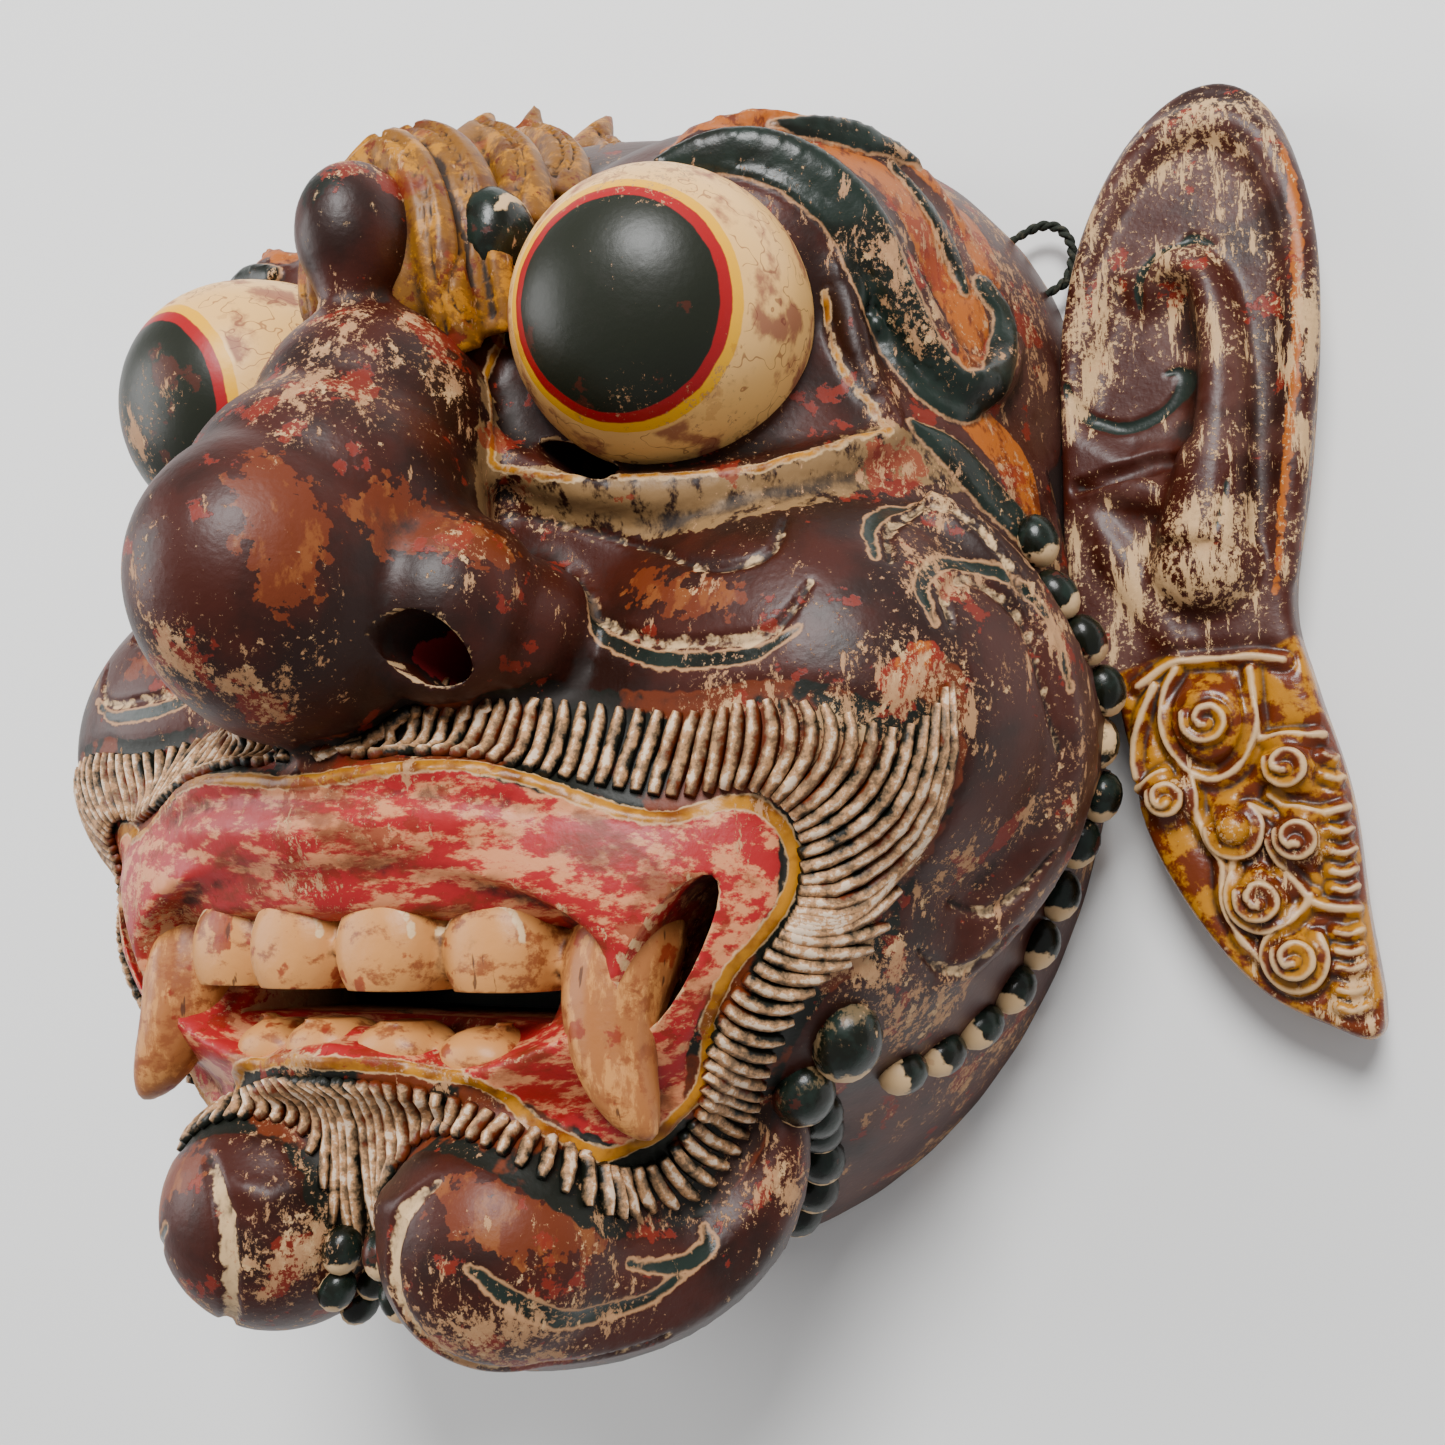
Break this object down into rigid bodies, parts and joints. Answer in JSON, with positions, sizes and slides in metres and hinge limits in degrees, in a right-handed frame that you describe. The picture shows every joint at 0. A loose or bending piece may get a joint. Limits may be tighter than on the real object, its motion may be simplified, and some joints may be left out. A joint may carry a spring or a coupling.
{
  "type": "rakshasa mask",
  "caption": "Carved and painted wooden demon mask with bulging eyes, fanged open mouth, hair ridges, flame crest and leaf earrings, hollow behind, lying face up.",
  "frame": {"origin": "middle of the box around the mask, on the plane that the rim of its hollow back lies on", "axes": "+X to the viewer's right across the face, +Y up the face to the crest, +Z out of the face"},
  "size_m": [0.2793, 0.2341, 0.1328],
  "materials": {
    "painted_head": "worn maroon, red, green and gold paint over cream ground on carved wood, satin",
    "painted_ear": "worn maroon paint over cream ground, with a glazed gold earring, satin",
    "dark_cord": "dark green-black twisted cord"
  },
  "bodies": {
    "root": {"mask_head": "painted_head", "ear_right": "painted_ear", "ear_left": "painted_ear", "tie_loop": "dark_cord"}
  },
  "joints": []
}
